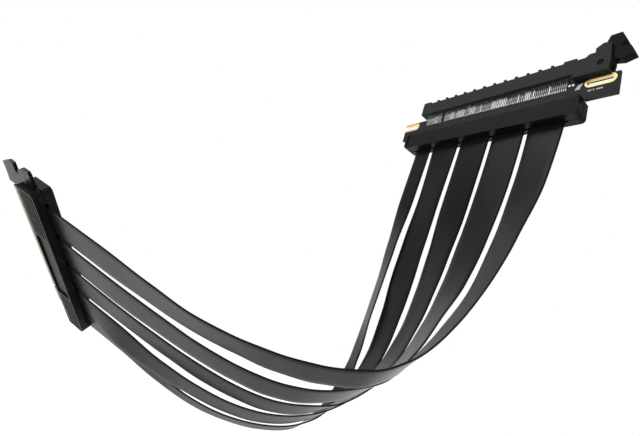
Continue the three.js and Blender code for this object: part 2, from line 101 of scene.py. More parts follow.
# %% Camera
CAMERA_PLACE = Vector((0.13824, -0.18670, -0.14043))
CAMERA_LOOK = Vector((-0.7860, 0.5500, 0.2823)).normalized()
CAMERA_UP = Vector((0.0410, -0.4092, 0.9115))
CAMERA_LENS = 25.485
SENSOR_WIDTH = 36
NEAREST_SEEN = 0.005

side = CAMERA_LOOK.cross(CAMERA_UP).normalized()
camera_data = bpy.data.cameras.new("camera")
camera_data.lens = CAMERA_LENS
camera_data.sensor_width = SENSOR_WIDTH
camera_data.sensor_fit = "HORIZONTAL"
camera_data.clip_start = NEAREST_SEEN
camera = bpy.data.objects.new("camera", camera_data)
camera.matrix_world = Matrix((side, side.cross(CAMERA_LOOK), -CAMERA_LOOK)).transposed().to_4x4()
camera.matrix_world.translation = CAMERA_PLACE
bpy.context.scene.collection.objects.link(camera)
bpy.context.scene.camera = camera
print("camera at", tuple(round(v, 4) for v in CAMERA_PLACE))

# %% [markdown]
# Two places anchor everything else. The slot end's own place is its first contact at the top edge of its
# board, in the middle of the board's thickness. The plug has a place of its own, turned and moved, so its
# details are made upright beside its own first contact and then carried there by one matrix.

# %% Places of the two ends
board_low, board_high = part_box("slot_board")
KEY_END_OVERHANG = 17.8 * MM
PLUG_OFFSET = Vector((-85.5, -136.2, -153.4)) * MM
PLUG_ANGLES = (71.84, -32.89, -43.92)
ROW_START = Vector((board_low.x + KEY_END_OVERHANG, (board_low.y + board_high.y) / 2, board_high.z))
PLUG_PLACE = ROW_START + PLUG_OFFSET
PLUG_TURN = Euler([math.radians(a) for a in PLUG_ANGLES], "XYZ")
SLOT = Matrix.Translation(ROW_START)
PLUG = Matrix.Translation(PLUG_PLACE) @ PLUG_TURN.to_matrix().to_4x4()
HALF_BOARD = 0.8 * MM
print("first contact of the slot at", tuple(round(v, 4) for v in ROW_START))

# %% [markdown]
# The five ribbons are flat bundles of fine wires in a black film. They could be cloth or a simulated rope,
# but a shielded ribbon is springy and holds one smooth curve. So each is a strip swept along a curve through
# listed stations. A station has its X, Y and Z in millimetres from the slot's first contact, and a
# roll in degrees. The width turns evenly from the slot's row to the plug's row, and the roll is added.

# %% Stations of the ribbons
RIBBON_ROW_START = -5
NARROW_PITCH = 12.6
WIDE_PITCH = 19.45
RIBBON_GAP = 1.4
SLOT_RIBBON_PLANE = 0.5
SLOT_RIBBON_ENDS = (-17.3, -21.3)
PLUG_RIBBON_ENDS = (0.4, 4.2)
PLUG_ROW_START = -42.8
ROUTES = [
    [
        (-3.5, 2.6, -53.4, -1), (-10, 6.7, -80.2, 13), (-15.4, 10.8, -101.9, 18),
        (-20.7, 14.1, -123.8, 17), (-25.7, 17.1, -148.9, 4), (-29.6, 15.8, -171, -18),
        (-32.5, 8, -185.8, -12), (-36, -3.3, -195.9, 4), (-44, -20, -201.1, 1),
        (-54.9, -39.4, -201.9, -2), (-65.8, -57.2, -198.8, 0), (-78.9, -76, -191.6, 6),
        (-93.9, -95.2, -183.3, -1),
    ],
    [
        (12.6, 3.2, -54.3, 5), (5.8, 7.5, -81.7, 0), (0.6, 11.3, -102, -4),
        (-3.9, 14.6, -121.5, -1), (-8.4, 15.6, -143.8, -1), (-12.7, 11.6, -164.9, -8),
        (-17.4, 1.5, -180.5, 3), (-24.5, -13.4, -190.1, 4), (-33.3, -29.9, -194.5, 3),
        (-43, -46.5, -194.5, 1), (-53.2, -63.2, -191.4, 1), (-64.2, -80.5, -186.4, 5),
        (-78.9, -100.2, -178.2, 11),
    ],
    [
        (31.4, 3.1, -60.1, 0), (24.7, 7.7, -86.9, 8), (19.6, 10.4, -106.6, 10),
        (14.5, 11.3, -126.6, 10), (9.1, 8.5, -146.7, 5), (3.6, 1.4, -163.8, 1),
        (-2.4, -9.5, -175.8, -1), (-10.1, -23.8, -183, 5), (-18.6, -38.4, -185.6, 3),
        (-27.8, -53.1, -184.5, 1), (-37.8, -68.9, -181.1, 1), (-48.4, -84.9, -176, -1),
        (-63.8, -106.7, -167.9, -2),
    ],
    [
        (53.9, -0.1, -53.5, -1), (50.5, -1.7, -82.6, 2), (47.5, -4.6, -105.7, 6),
        (44.6, -10.3, -125.9, 13), (41.7, -17.5, -144.5, 12), (37.7, -26.7, -158.8, 5),
        (31.6, -38.3, -167.4, 8), (23.6, -51, -172.7, 6), (13.6, -63.8, -174.3, 3),
        (1.8, -76.7, -172.8, 0), (-11.9, -90.1, -169.3, -1), (-27.4, -104.1, -164.1, 0),
        (-48, -121.6, -156.9, 1),
    ],
    [
        (73.9, -2.1, -53.6, 5), (71.2, -8.3, -84.6, 15), (68.5, -16, -110.2, 19),
        (65.1, -25.4, -129.9, 16), (62.2, -33.1, -142.3, 14), (59.4, -40.1, -150.9, 16),
        (53.9, -49.5, -158, 12), (42.9, -63.3, -162.2, 5), (30.1, -77.1, -163.1, 0),
        (17.1, -89.7, -161.7, -5), (2.8, -102.6, -158.8, -6), (-13.7, -116, -153.5, -3),
        (-35.7, -133.2, -145.9, 1),
    ],
]


def ribbon_places():
    """The middle and the width of each ribbon along the row, in millimetres."""
    places = []
    left = RIBBON_ROW_START
    for i in range(len(ROUTES)):
        pitch = WIDE_PITCH if i else NARROW_PITCH
        places.append((left + pitch / 2, pitch - RIBBON_GAP))
        left += pitch
    return places


def stations_of(route, middle):
    """The route with its straight ends, which lie inside the two covers. Places are in metres."""
    slot_end = [(middle, SLOT_RIBBON_PLANE, z, 0) for z in SLOT_RIBBON_ENDS]
    rows = [[*(ROW_START + Vector(s[:3]) * MM), s[3]] for s in slot_end + list(route)]
    for z in PLUG_RIBBON_ENDS:
        rows.append([*(PLUG @ (Vector((middle + PLUG_ROW_START, 0, z)) * MM)), 0])
    return np.array(rows)


print("ribbons:", len(ROUTES), "with", len(ROUTES[0]), "stations each")

# %% [markdown]
# The curve through the stations is a centripetal spline, which stays free of loops where stations lie at
# uneven distances. Each span is a cubic, worked out here for all samples at once.

# %% Curve through the stations
SAMPLES = 180
NUDGE = 1e-4


def spline(points, t):
    """Points on the centripetal spline through the given points, for t from 0 to 1."""
    count = len(points)
    place = np.clip(t, 0, 1) * (count - 1)
    span = np.minimum(np.floor(place).astype(int), count - 2)
    part = (place - span)[:, None]
    before, after = 2 * points[0] - points[1], 2 * points[-1] - points[-2]
    more = np.vstack([before, points, after])
    a, b, c, d = (more[span + i] for i in range(4))
    pairs = ((b, a), (c, b), (d, c))
    step_a, step_b, step_c = (np.sqrt(np.linalg.norm(p - q, axis=1))[:, None] for p, q in pairs)
    leave = ((b - a) / step_a - (c - a) / (step_a + step_b) + (c - b) / step_b) * step_b
    enter = ((c - b) / step_b - (d - b) / (step_b + step_c) + (d - c) / step_c) * step_b
    cubic = 2 * b - 2 * c + leave + enter
    square = -3 * b + 3 * c - 2 * leave - enter
    return b + leave * part + square * part ** 2 + cubic * part ** 3


def unit(rows):
    return rows / np.linalg.norm(rows, axis=1)[:, None]


def roll_at(stations, t):
    """The roll in radians, eased from each station to the next."""
    place = t * (len(stations) - 1)
    span = np.minimum(np.floor(place).astype(int), len(stations) - 2)
    part = place - span
    ease = part ** 2 * (3 - 2 * part)
    roll = stations[:, 3]
    return np.radians(roll[span] * (1 - ease) + roll[span + 1] * ease)


def ribbon_frame(stations):
    """Centre, width direction and face direction at each sample of a ribbon."""
    t = np.linspace(0, 1, SAMPLES + 1)
    centre = spline(stations[:, :3], t)
    tangent = unit(spline(stations[:, :3], t + NUDGE) - spline(stations[:, :3], t - NUDGE))
    slot_axis, plug_axis = np.array((1, 0, 0)), np.array(PLUG.to_3x3() @ Vector((1, 0, 0)))
    wide = slot_axis * (1 - t)[:, None] + plug_axis * t[:, None]
    wide = unit(wide - tangent * np.sum(wide * tangent, axis=1)[:, None])
    roll = roll_at(stations, t)[:, None]
    across = unit(wide * np.cos(roll) + np.cross(tangent, wide) * np.sin(roll))
    return centre, across, np.cross(tangent, across)


# %% [markdown]
# The section of a ribbon is a flat core with round shoulders, and the film's two sides are sealed together
# beyond it in a thin lip. That lip draws the fine dark line along each edge, with its bent shape and with a
# darker colour painted on it as shade. The strip could be a curve with a bevel object, but a mesh lets each
# corner carry a map: its distance along the ribbon, its place across it, and a mark for the lip, which the
# film's finish reads later.

# %% Ribbons
THICKNESS = 0.8 * MM
LIP_WIDTH = 0.55 * MM
LIP_THICKNESS = 0.3 * MM
LIP_TAPER = 0.6
SHOULDER = 0.22 * MM
SHOULDER_POINTS = 3
FACE_POINTS = 5
RIBBON_SHARP_ANGLE = math.radians(50)


def ribbon_section(width):
    """The upper half of a section from the left lip to the right one, as offsets across and up."""
    core = width / 2 - LIP_WIDTH
    lip, top = LIP_THICKNESS / 2, THICKNESS / 2
    turns = [math.pi / 2 * i / SHOULDER_POINTS for i in range(SHOULDER_POINTS + 1)]
    left = [(-width / 2, lip * LIP_TAPER), (-width / 2 + lip, lip), (-core, lip)]
    left += [(-core + SHOULDER * (1 - math.cos(a)), lip + (top - lip) * math.sin(a)) for a in turns[1:]]
    flat = [(core - SHOULDER) * (2 * i / (FACE_POINTS + 1) - 1) for i in range(1, FACE_POINTS + 1)]
    return left + [(x, top) for x in flat] + [(-x, z) for x, z in reversed(left)]


def turn_faces_out(mesh):
    made = bmesh.new()
    made.from_mesh(mesh)
    bmesh.ops.recalc_face_normals(made, faces=made.faces)
    made.to_mesh(mesh)
    made.free()


def make_ribbon(name, stations, width):
    """The strip, its centre line and its length."""
    centre, across, face = ribbon_frame(stations)
    upper = ribbon_section(width)
    section = np.array(upper + [(x, -z) for x, z in reversed(upper)])
    rings = centre[:, None] + across[:, None] * section[:, 0, None] + face[:, None] * section[:, 1, None]
    count = len(section)
    steps = len(centre)
    length = np.concatenate([[0], np.cumsum(np.linalg.norm(np.diff(centre, axis=0), axis=1))])
    faces = []
    for start in range(0, (steps - 1) * count, count):
        for j in range(count):
            after = (j + 1) % count
            faces.append([start + j, start + after, start + count + after, start + count + j])
    faces.append(list(range(count))[::-1])
    faces.append([(steps - 1) * count + j for j in range(count)])
    mesh = bpy.data.meshes.new(name)
    mesh.from_pydata(rings.reshape(-1, 3).tolist(), [], faces)
    map_uv = mesh.uv_layers.new(name="along_across")
    which = np.empty(len(mesh.loops), int)
    mesh.loops.foreach_get("vertex_index", which)
    uv = np.stack([length[which // count], section[which % count, 0]], axis=1)
    map_uv.data.foreach_set("uv", uv.astype(np.float32).ravel())
    lip = mesh.attributes.new("lip", "FLOAT", "POINT")
    on_lip = (np.abs(section[:, 0]) > width / 2 - LIP_WIDTH - SHOULDER / 2).astype(np.float32)
    lip.data.foreach_set("value", np.tile(on_lip, steps))
    turn_faces_out(mesh)
    smooth(mesh, RIBBON_SHARP_ANGLE)
    return show(name, mesh), centre, length[-1]


ribbons = []
for number, ((middle, width), route) in enumerate(zip(ribbon_places(), ROUTES), 1):
    stations = stations_of(route, middle)
    ribbon, centre, length = make_ribbon(f"ribbon_film_{number}", stations, width * MM)
    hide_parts(f"ribbon_{number}")
    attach(ribbon, BODY)
    width * MM
    ribbons.append(ribbon)
    print(ribbon.name, "is", round(length, 4), "m long and", round(width, 2), "mm wide")

# %% [markdown]
# Materials are small programs. Writing them as a graph of nodes by hand is slow to read, so a socket is
# wrapped in a class that knows plus, minus, times and comparisons, and an expression on two sockets adds the
# Math nodes that it needs. Everything else goes through one method that makes any node.

# %% Shader expressions


class Value:
    """An output socket of a finish, ready for arithmetic."""

    def __init__(self, finish, socket):
        self.finish = finish
        self.socket = socket

    def math(self, operation, *values):
        return self.finish.node("ShaderNodeMath", {"operation": operation}, dict(enumerate(values)))

    def __add__(self, other):
        return self.math("ADD", self, other)

    def __rsub__(self, other):
        return self.math("SUBTRACT", other, self)

    def __mul__(self, other):
        return self.math("MULTIPLY", self, other)

    def __gt__(self, other):
        return self.math("GREATER_THAN", self, other)

    def __lt__(self, other):
        return self.math("LESS_THAN", self, other)

    def __abs__(self):
        return self.math("ABSOLUTE", self)

    def sine(self):
        return self.math("SINE", self)

    __radd__ = __add__
    __rmul__ = __mul__


class Finish:
    """A material with one Principled shader, built from expressions."""

    def __init__(self, name, specular=0.5, metallic=0.0):
        self.material = bpy.data.materials.new(name)
        self.material.use_nodes = True
        self.tree = self.material.node_tree
        self.shader = self.tree.nodes["Principled BSDF"]
        self.set("Specular IOR Level", specular)
        self.set("Metallic", metallic)

    def join(self, socket, value):
        if isinstance(value, Value):
            self.tree.links.new(value.socket, socket)
        else:
            socket.default_value = value

    def set(self, name, value):
        self.join(self.shader.inputs[name], value)

    def node(self, kind, settings=None, inputs=None, output=0):
        made = self.tree.nodes.new(kind)
        for name, value in (settings or {}).items():
            setattr(made, name, value)
        for key, value in (inputs or {}).items():
            self.join(made.inputs[key], value)
        return Value(self, made.outputs[output])

    def place(self):
        """Object coordinates, in metres."""
        return self.node("ShaderNodeTexCoord", output="Object")

    def noise(self, place, size, detail=3.0, stretch=None):
        """Soft noise from 0 to 1, with spots of the given size in metres."""
        if stretch:
            place = self.node("ShaderNodeMapping", inputs={"Vector": place, "Scale": stretch})
        return self.node("ShaderNodeTexNoise", inputs={"Vector": place, "Scale": 1 / size, "Detail": detail})

    def axes(self, place):
        split = self.tree.nodes.new("ShaderNodeSeparateXYZ")
        self.join(split.inputs[0], place)
        return [Value(self, socket) for socket in split.outputs]

    def mix(self, first, second, share):
        """A colour between two, by a share from 0 to 1."""
        colours = {0: share, 6: colour(first), 7: colour(second)}
        return self.node("ShaderNodeMix", {"data_type": "RGBA"}, colours, output=2)

    def bump(self, height, depth, before=None):
        """Raises the surface by height times depth, in metres."""
        inputs = {"Height": height, "Distance": depth, "Strength": 1.0}
        if before is not None:
            inputs["Normal"] = before
        return self.node("ShaderNodeBump", inputs=inputs)


def colour(value):
    return value if isinstance(value, Value) else (*value, 1.0)


print("expression helpers ready")

# %% [markdown]
# The ribbons' film is black and satin. Seen straight on it is almost black, and seen at a glancing angle it
# turns grey, because every smooth film mirrors more of the bright room there. That comes from the shader's
# own reflection, so the colour stays dark. The wires inside show as faint ridges along the length. The sealed
# lip is duller than the core, and its colour is darker still: painted shade for the dark line along each
# edge.

# %% Film of the ribbons
WIRE_PITCH = 0.9 * MM


def ribbon_finish():
    film = Finish("ribbon_film", specular=0.16)
    uv = film.node("ShaderNodeUVMap", {"uv_map": "along_across"})
    _, across, _ = film.axes(uv)
    lip = film.node("ShaderNodeAttribute", {"attribute_name": "lip"}, output="Fac")
    place = film.place()
    cloud = film.noise(place, 18 * MM, detail=4)
    grain = film.noise(place, 0.35 * MM, detail=2)
    warm = film.mix((0.0088, 0.0088, 0.0084), (0.0136, 0.0134, 0.0124), cloud)
    # The lip's near-black colour is painted shade for the dark line along each edge; the core's two tones
    # differ at random.
    film.set("Base Color", film.mix(warm, (0.0022, 0.0022, 0.0022), lip))
    film.set("Roughness", 0.25 + 0.07 * cloud + 0.05 * grain + 0.25 * lip)
    wire = (across * (2 * math.pi / WIRE_PITCH)).sine()
    ridges = film.bump(wire, 0.004 * MM)
    film.set("Normal", film.bump(grain, 0.006 * MM, before=ridges))
    return film.material


def dress(piece, material):
    piece.data.materials.clear()
    piece.data.materials.append(material)


film = ribbon_finish()
for ribbon in ribbons:
    dress(ribbon, film)
print("dressed", len(ribbons), "ribbons in", film.name)

# %% [markdown]
# The mouldings in the frame have knife edges, and no real moulding has. A rounded edge catches a thin line of
# light, and the eye reads size from it. The edges could be faked in the shader, but then the outline stays
# sharp, so each moulding is copied, its triangles are joined back into flat faces, and its sharp edges get a
# real bevel. The slot housing's contact tails are sheet metal, so they are left out of its bevel.

# %% Rounded mouldings
FLAT_ANGLE = math.radians(0.6)
SHARP_ANGLE = math.radians(28)
SMOOTH_ANGLE = math.radians(32)
WELD = 0.001 * MM
EDGE_SEGMENTS = 2
EDGE_PROFILE = 0.6
TOWER_OFFSET = 87 * MM
FOOT_HEIGHT = 2.5 * MM
TOWER_START = ROW_START.x + TOWER_OFFSET
SLOT_BASE = ROW_START.z + FOOT_HEIGHT
COVER_EDGE = 0.28 * MM
HOUSING_EDGE = 0.2 * MM
LATCH_EDGE = 0.3 * MM
GRIP_EDGE = 0.16 * MM
TAIL_MARGIN = 0.3 * MM


def keep_faces_flat(piece):
    """Turns each corner's normal towards its largest face, so that only the rounded edges look bent."""
    modifier = piece.modifiers.new("flat_faces", "WEIGHTED_NORMAL")
    modifier.keep_sharp = True
    bpy.context.view_layer.update()
    ready = piece.evaluated_get(bpy.context.evaluated_depsgraph_get())
    bent = piece.data
    mesh = bpy.data.meshes.new_from_object(ready)
    piece.modifiers.remove(modifier)
    piece.data = mesh
    bpy.data.meshes.remove(bent)
    mesh.name = piece.name


def rounded(node, name, size, body=BODY, skip=None):
    """A copy of a moulding with its sharp edges rounded, in place of the frame's own."""
    made = bmesh.new()
    made.from_mesh(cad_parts[node].data)
    bmesh.ops.remove_doubles(made, verts=made.verts, dist=WELD)
    bmesh.ops.dissolve_limit(made, angle_limit=FLAT_ANGLE, verts=made.verts, edges=made.edges)
    sharp = [e for e in made.edges if len(e.link_faces) == 2 and e.calc_face_angle() > SHARP_ANGLE
             and not (skip and skip(e))]
    bmesh.ops.bevel(made, geom=sharp, offset=size, segments=EDGE_SEGMENTS, profile=EDGE_PROFILE,
                    affect="EDGES", clamp_overlap=True)
    mesh = mesh_from(made, name)
    smooth(mesh, SMOOTH_ANGLE)
    piece = show(name, mesh)
    keep_faces_flat(piece)
    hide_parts(node)
    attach(piece, body)
    print(name, "has", len(sharp), "rounded edges")
    return piece


def on_tail(edge):
    """True for an edge of the slot housing that belongs to a contact tail."""
    low = all(v.co.z < SLOT_BASE + TAIL_MARGIN for v in edge.verts)
    return low and all(v.co.x < TOWER_START - TAIL_MARGIN for v in edge.verts)


slot_front = rounded("slot_front_cover", "slot_front_shell", COVER_EDGE)
slot_back = rounded("slot_back_cover", "slot_back_shell", COVER_EDGE)
plug_front = rounded("plug_front_cover", "plug_front_shell", GRIP_EDGE)
plug_back = rounded("plug_back_cover", "plug_back_shell", COVER_EDGE)
housing = rounded("slot_housing", "slot_moulding", HOUSING_EDGE, skip=on_tail)
latch = rounded("latch", "latch_moulding", LATCH_EDGE, body=LATCH_BODY)

# %% [markdown]
# Moulded black plastic has a very fine grain from the steel of its mould, a faint difference in gloss from
# place to place, and paler specks where it has been rubbed. The grain and the specks are heights for the Bump
# nodes, and the specks also mix a dark and a pale tone of the same plastic.

# %% Moulded plastics


def plastic_finish(name, dark, pale, gloss, specular, grain_size):
    """A moulded plastic, with its colour and its place for finishes that add to it."""
    plastic = Finish(name, specular=specular)
    place = plastic.place()
    cloud = plastic.noise(place, 9 * MM, detail=4)
    grain = plastic.noise(place, grain_size, detail=2)
    specks = plastic.noise(place, grain_size * 5, detail=5)
    body = plastic.mix(dark, pale, 0.35 * cloud + 0.4 * specks)
    plastic.set("Base Color", body)
    plastic.set("Roughness", gloss + 0.10 * cloud + 0.06 * grain)
    plastic.set("Normal", plastic.bump(grain, 0.010 * MM, before=plastic.bump(specks, 0.004 * MM)))
    return plastic, body, place


cover_plastic, _, _ = plastic_finish(
    "cover_plastic", (0.0055, 0.0055, 0.0053), (0.0115, 0.0115, 0.0110), 0.34, 0.12, 0.28 * MM)
latch_plastic, _, _ = plastic_finish(
    "latch_plastic", (0.0032, 0.0034, 0.0036), (0.0068, 0.0071, 0.0073), 0.36, 0.08, 0.32 * MM)
for shell in (slot_front, slot_back, plug_front, plug_back):
    dress(shell, cover_plastic.material)
dress(latch, latch_plastic.material)
print("dressed the covers and the latch")

# %% [markdown]
# The slot's moulding and its contact tails are one solid in the frame, so one finish covers both: a mask
# tells tin from plastic by height. Below the housing's foot everything outside the latch tower is a tail,
# and there the colour, the metal and the roughness switch over.

# %% Slot plastic and tinned tails
TIN = (0.62, 0.62, 0.59)
TIN_ROUGHNESS = 0.36
HOUSING_ROUGHNESS = 0.46
TIN_BELOW_BASE = 0.02 * MM
TIN_BEFORE_TOWER = 1.2 * MM


def housing_finish():
    plastic, body, place = plastic_finish(
        "slot_plastic", (0.0190, 0.0222, 0.0212), (0.0330, 0.0375, 0.0360), 0.38, 0.14, 0.24 * MM)
    x, _, z = plastic.axes(place)
    tail = (z < SLOT_BASE - TIN_BELOW_BASE) * (x < TOWER_START - TIN_BEFORE_TOWER)
    plastic.set("Base Color", plastic.mix(body, TIN, tail))
    plastic.set("Metallic", tail)
    plastic.set("Roughness", (1 - tail) * HOUSING_ROUGHNESS + tail * TIN_ROUGHNESS)
    return plastic.material


def tin_finish():
    tin = Finish("solder_tin", metallic=1.0)
    place = tin.place()
    cloud = tin.noise(place, 1.2 * MM)
    tin.set("Base Color", tin.mix((0.58, 0.58, 0.56), (0.74, 0.74, 0.71), cloud))
    tin.set("Roughness", 0.34 + 0.10 * cloud)
    tin.set("Normal", tin.bump(tin.noise(place, 0.4 * MM), 0.004 * MM))
    return tin.material


dress(housing, housing_finish())
solder_tin = tin_finish()
print("dressed the slot housing")

# %% [markdown]
# The boards are glass fibre under black solder mask. Copper traces under the mask lift it a little, so fine
# ridges run from the contacts to the ribbon joints. The plug's contacts are gold over nickel and stand just
# proud of the board, so depth tells them from the mask. The Mapping node undoes the plug's turn, and the
# pattern is then written in the plug's own upright axes.

# %% Boards and gold
FINGER_FACE = HALF_BOARD + 0.02 * MM
TRACE_PITCH = 0.5 * MM
TRACE_LANE = 0.1
TRACE_PATCH = 0.42
GOLD_DARK = (0.62, 0.43, 0.18)
GOLD_PALE = (0.86, 0.66, 0.34)


def board_finish(name, anchor, turn, fingers):
    board = Finish(name, specular=0.2)
    place = board.node("ShaderNodeMapping", {"vector_type": "TEXTURE"},
                       {"Vector": board.place(), "Location": anchor, "Rotation": turn})
    x, y, _ = board.axes(place)
    cloud = board.noise(place, 6 * MM)
    lanes = (x * (2 * math.pi / TRACE_PITCH)).sine()
    trace = (lanes > TRACE_LANE) * (cloud > TRACE_PATCH)
    mask = board.mix((0.0058, 0.0048, 0.0075), (0.0105, 0.0085, 0.0115), 0.6 * cloud + 0.4 * trace)
    ridges = board.bump(trace, 0.012 * MM)
    if fingers:
        gold = abs(y) > FINGER_FACE
        wear = board.noise(place, 2.5 * MM, stretch=(1, 1, 0.25))
        mask = board.mix(mask, board.mix(GOLD_DARK, GOLD_PALE, wear), gold)
        board.set("Metallic", gold)
        board.set("Roughness", (1 - gold) * (0.30 + 0.12 * cloud) + gold * (0.20 + 0.15 * wear))
    else:
        board.set("Roughness", 0.30 + 0.14 * cloud)
    board.set("Base Color", mask)
    board.set("Normal", ridges)
    return board.material


def plated_finish(name, dark, pale):
    plate = Finish(name, metallic=1.0)
    place = plate.place()
    cloud = plate.noise(place, 1.6 * MM)
    plate.set("Base Color", plate.mix(dark, pale, cloud))
    plate.set("Roughness", 0.24 + 0.2 * cloud)
    plate.set("Normal", plate.bump(plate.noise(place, 0.3 * MM), 0.006 * MM))
    return plate.material


def refinish(node, material):
    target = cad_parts[node]
    for entry in target.material_slots:
        entry.material = material
    if not target.material_slots:
        target.data.materials.append(material)


gold_plate = plated_finish("gold_plate", GOLD_DARK, GOLD_PALE)
copper = plated_finish("copper_bar", (0.55, 0.24, 0.12), (0.78, 0.40, 0.24))
refinish("slot_board", board_finish("slot_mask", ROW_START, (0, 0, 0), False))
refinish("plug_board", board_finish("plug_mask", PLUG_PLACE, PLUG_TURN, True))
for name in ("closed_slot_plating", "open_slot_plating"):
    refinish(name, gold_plate)
for number in range(1, len(ROUTES) + 1):
    refinish(f"slot_ground_bar_{number}", copper)
    refinish(f"plug_ground_bar_{number}", copper)
print("dressed the boards, the platings and the ground bars")

# %% [markdown]
# One hundred and sixty-four contacts repeat along a row that skips two places at the key, and each has solder
# at its foot and a spring in the mouth. Copying by hand would be slow to change, so a Geometry Nodes tree
# does it: it lays points along X, shifts those after the key, puts a small shape on each with a slight
# random size, and turns the copies into real faces.

# %% Row of repeats
CONTACT_PITCH = 1.0 * MM
CONTACTS = 82
BEFORE_KEY = 11
KEY_SHIFT = 2.0 * MM
SEED = 3
ROW_INPUTS = (
    ("Shape", "Object"), ("Count", "Int"), ("Pitch", "Float"), ("Before Key", "Int"), ("Key Shift", "Float"),
    ("Smallest", "Float"), ("Seed", "Int"), ("Finish", "Material"),
)


def row_tree():
    tree = bpy.data.node_groups.new("contact_row", "GeometryNodeTree")
    for name, kind in ROW_INPUTS:
        tree.interface.new_socket(name, in_out="INPUT", socket_type=f"NodeSocket{kind}")
    tree.interface.new_socket("Geometry", in_out="OUTPUT", socket_type="NodeSocketGeometry")

    def add(kind, inputs=None, settings=None):
        made = tree.nodes.new(kind)
        for name, value in (settings or {}).items():
            setattr(made, name, value)
        for key, value in (inputs or {}).items():
            if isinstance(value, bpy.types.NodeSocket):
                tree.links.new(value, made.inputs[key])
            else:
                made.inputs[key].default_value = value
        return made

    def maths(operation, first, second):
        return add("ShaderNodeMath", {0: first, 1: second}, {"operation": operation}).outputs[0]

    given = add("NodeGroupInput").outputs
    step = add("ShaderNodeCombineXYZ", {"X": given["Pitch"]}).outputs[0]
    line = add("GeometryNodeMeshLine", {"Count": given["Count"], "Offset": step},
               {"mode": "OFFSET"}).outputs[0]
    index = add("GeometryNodeInputIndex").outputs[0]
    after_key = maths("GREATER_THAN", index, maths("SUBTRACT", given["Before Key"], 0.5))
    offset = add("ShaderNodeCombineXYZ", {"X": maths("MULTIPLY", after_key, given["Key Shift"])}).outputs[0]
    points = add("GeometryNodeSetPosition", {"Geometry": line, "Offset": offset}).outputs[0]
    shape = add("GeometryNodeObjectInfo", {"Object": given["Shape"]}).outputs["Geometry"]
    size = add("FunctionNodeRandomValue", {2: given["Smallest"], 3: 1.0, "Seed": given["Seed"]},
               {"data_type": "FLOAT"}).outputs[1]
    copies = add("GeometryNodeInstanceOnPoints",
                 {"Points": points, "Instance": shape, "Scale": size}).outputs[0]
    solid = add("GeometryNodeRealizeInstances", {"Geometry": copies}).outputs[0]
    finished = add("GeometryNodeSetMaterial", {"Geometry": solid, "Material": given["Finish"]}).outputs[0]
    add("NodeGroupOutput", {0: finished})
    return tree


CONTACT_ROW = row_tree()


def lay_row(name, shapes, finish, smallest=1.0):
    """One mesh of all the copies of each shape along the slot's row of contacts."""
    joined = bmesh.new()
    inputs = {"Count": CONTACTS, "Pitch": CONTACT_PITCH, "Before Key": BEFORE_KEY, "Key Shift": KEY_SHIFT,
              "Smallest": smallest, "Seed": SEED, "Finish": finish}
    for shape in shapes:
        values = {"Shape": shape, **inputs}
        bpy.context.scene.collection.objects.link(shape)
        maker = show(name, bpy.data.meshes.new(name))
        modifier = maker.modifiers.new("row", "NODES")
        modifier.node_group = CONTACT_ROW
        for item in CONTACT_ROW.interface.items_tree:
            if item.in_out == "INPUT":
                modifier[item.identifier] = values[item.name]
        bpy.context.view_layer.update()
        ready = maker.evaluated_get(bpy.context.evaluated_depsgraph_get())
        joined.from_mesh(bpy.data.meshes.new_from_object(ready))
        maker.modifiers.remove(modifier)
        bpy.data.objects.remove(maker)
        bpy.data.objects.remove(shape)
    mesh = mesh_from(joined, name)
    mesh.transform(SLOT)
    mesh.materials.append(finish)
    piece = show(name, mesh)
    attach(piece, BODY)
    print(name, "has", len(mesh.polygons), "faces")
    return piece


# %% [markdown]
# A contact tail is soldered to a pad on the board's face. The solder wets the pad and climbs the tail, so
# each joint is a small mound, widest at the board. It is made as a squashed ball whose lower half lies in
# the board. A second, wider ball at the top of each pad almost meets its neighbours, and that makes the thin
# bright line that runs between the two rows of the comb.

# %% Solder joints
MOUND_MIDDLE = -3.3 * MM
MOUND_RADII = (0.25 * MM, 0.30 * MM, 1.3 * MM)
LINE_MIDDLE = -0.7 * MM
LINE_RADII = (0.47 * MM, 0.22 * MM, 0.26 * MM)
SMALLEST_SOLDER = 0.97


def ball(name, centre, radii, segments=8, rings=6):
    made = bmesh.new()
    bmesh.ops.create_uvsphere(made, u_segments=segments, v_segments=rings, radius=1.0)
    squash = Matrix.Translation(centre) @ Matrix.Diagonal((*radii, 1))
    bmesh.ops.transform(made, matrix=squash, verts=made.verts)
    mesh = mesh_from(made, name)
    smooth(mesh)
    return bpy.data.objects.new(name, mesh)


solder = lay_row("contact_solder", [
    ball(name, (0, way * HALF_BOARD, middle), radii)
    for name, middle, radii in (("mound", MOUND_MIDDLE, MOUND_RADII), ("line", LINE_MIDDLE, LINE_RADII))
    for way in (-1, 1)], solder_tin, smallest=SMALLEST_SOLDER)

# %% [markdown]
# Inside the mouth a card's gold pads meet a row of bent springs on each side. A spring leaves the floor,
# bows inward to touch the card and turns back under the rim. Its line has only a few points, and a flat
# section is carried along it.

# %% Mouth springs
SPRING_WIDTH = 0.42 * MM
SPRING_THICKNESS = 0.14 * MM
SPRING_LINE = [(0.84, 4.2), (0.80, 5.6), (0.58, 7.0), (0.40, 8.1), (0.42, 8.7), (0.66, 9.6), (0.80, 10.0)]


def spring(name, way):
    """One spring as a closed strip. way is -1 for the front row and 1 for the back one."""
    line = [Vector((0, way * y * MM, z * MM)) for y, z in SPRING_LINE]
    made = bmesh.new()
    rings = []
    for i, point in enumerate(line):
        along = (line[min(i + 1, len(line) - 1)] - line[max(i - 1, 0)]).normalized()
        out = Vector((0, along.z, -along.y)) * (SPRING_THICKNESS / 2)
        wide = Vector((SPRING_WIDTH / 2, 0, 0))
        rings.append([made.verts.new(point + a * wide + b * out) for a, b in CORNERS])
    for low, high in zip(rings, rings[1:]):
        for j in range(4):
            made.faces.new((low[j], low[(j + 1) % 4], high[(j + 1) % 4], high[j]))
    made.faces.new(rings[0][::-1])
    made.faces.new(rings[-1])
    bmesh.ops.recalc_face_normals(made, faces=made.faces)
    return bpy.data.objects.new(name, mesh_from(made, name))


